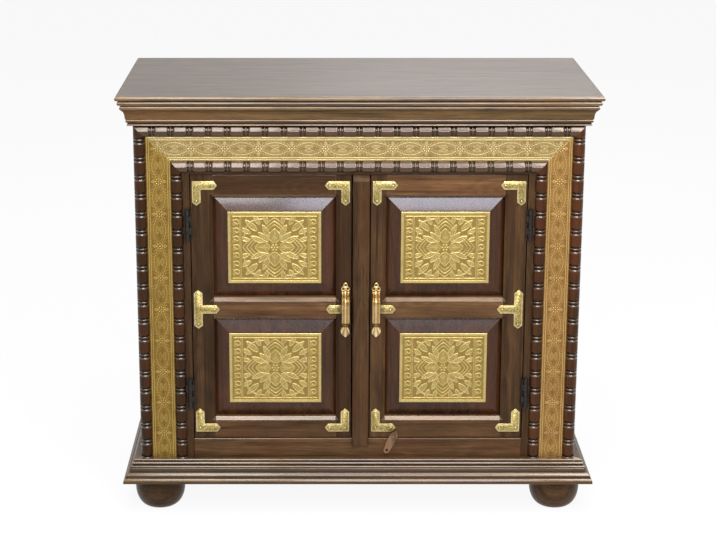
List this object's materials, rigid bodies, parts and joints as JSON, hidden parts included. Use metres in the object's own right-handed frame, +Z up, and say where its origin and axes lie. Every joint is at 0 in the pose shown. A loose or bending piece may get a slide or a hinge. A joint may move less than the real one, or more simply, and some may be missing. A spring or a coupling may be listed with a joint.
{
  "type": "sideboard",
  "caption": "Two-door sideboard in dark wood with bobbin mouldings, embossed brass bands and plates, brass pulls and bun feet.",
  "frame": {"origin": "on the floor, under the middle of the box round the whole sideboard", "axes": "+Z up, doors face -Y, +X to the right as seen from the front"},
  "size_m": [0.972, 0.466, 0.884],
  "materials": {
    "case_wood": "dark stained, satin lacquer",
    "panel_wood": "dark stained, glossy lacquer",
    "moulding_wood": "dark stained, glossy lacquer",
    "inside_wood": "unpolished",
    "embossed_brass": "embossed sheet, hand polished",
    "cast_brass": "cast and polished",
    "dark_iron": "blackened",
    "raw_wood": "bare"
  },
  "bodies": {
    "cabinet": {"top_board": "case_wood", "crown_front": "moulding_wood", "crown_left": "moulding_wood", "crown_right": "moulding_wood", "side_left": "case_wood", "side_right": "case_wood", "back_panel": "inside_wood", "bottom_board": "inside_wood", "shelf": "inside_wood", "shelf_cleats": "inside_wood", "frame_stile_left": "case_wood", "frame_stile_right": "case_wood", "frame_header": "case_wood", "bottom_rail": "case_wood", "centre_post": "case_wood", "brass_band_left": "embossed_brass", "brass_band_right": "embossed_brass", "brass_band_top": "embossed_brass", "bobbin_outer_left": "moulding_wood", "bobbin_outer_right": "moulding_wood", "bobbin_outer_top": "moulding_wood", "bobbin_inner_left": "moulding_wood", "bobbin_inner_right": "moulding_wood", "bobbin_inner_top": "moulding_wood", "base_front": "moulding_wood", "base_left": "moulding_wood", "base_right": "moulding_wood", "foot_front_left": "case_wood", "foot_front_right": "case_wood", "foot_back_left": "case_wood", "foot_back_right": "case_wood", "foot_blocks": "inside_wood", "hinge_frame_leaves": "dark_iron", "hinge_pins": "dark_iron", "door_stops": "inside_wood"},
    "left_door": {"door_left_hinge_stile": "case_wood", "door_left_meeting_stile": "case_wood", "door_left_top_rail": "case_wood", "door_left_middle_rail": "case_wood", "door_left_bottom_rail": "case_wood", "door_left_upper_panel": "panel_wood", "door_left_lower_panel": "panel_wood", "door_left_brass_plates": "embossed_brass", "door_left_brackets": "cast_brass", "door_left_handle": "cast_brass", "door_left_hinge_leaves": "dark_iron"},
    "right_door": {"door_right_hinge_stile": "case_wood", "door_right_meeting_stile": "case_wood", "door_right_top_rail": "case_wood", "door_right_middle_rail": "case_wood", "door_right_bottom_rail": "case_wood", "door_right_upper_panel": "panel_wood", "door_right_lower_panel": "panel_wood", "door_right_brass_plates": "embossed_brass", "door_right_brackets": "cast_brass", "door_right_handle": "cast_brass", "door_right_hinge_leaves": "dark_iron", "button_brad": "dark_iron"},
    "turn_button": {"turn_button": "raw_wood"}
  },
  "joints": [
    {"name": "left_door_hinge", "type": "hinge", "parent": "cabinet", "child": "left_door", "pos_m": [-0.345, -0.2018, 0.439], "axis": [0, 0, -1], "range_deg": [0, 105]},
    {"name": "right_door_hinge", "type": "hinge", "parent": "cabinet", "child": "right_door", "pos_m": [0.345, -0.2018, 0.439], "axis": [0, 0, 1], "range_deg": [0, 105]},
    {"name": "turn_button_pivot", "type": "hinge", "parent": "right_door", "child": "turn_button", "pos_m": [0.074, -0.2, 0.1645], "axis": [0, -1, 0], "range_deg": [-20, 110]}
  ]
}
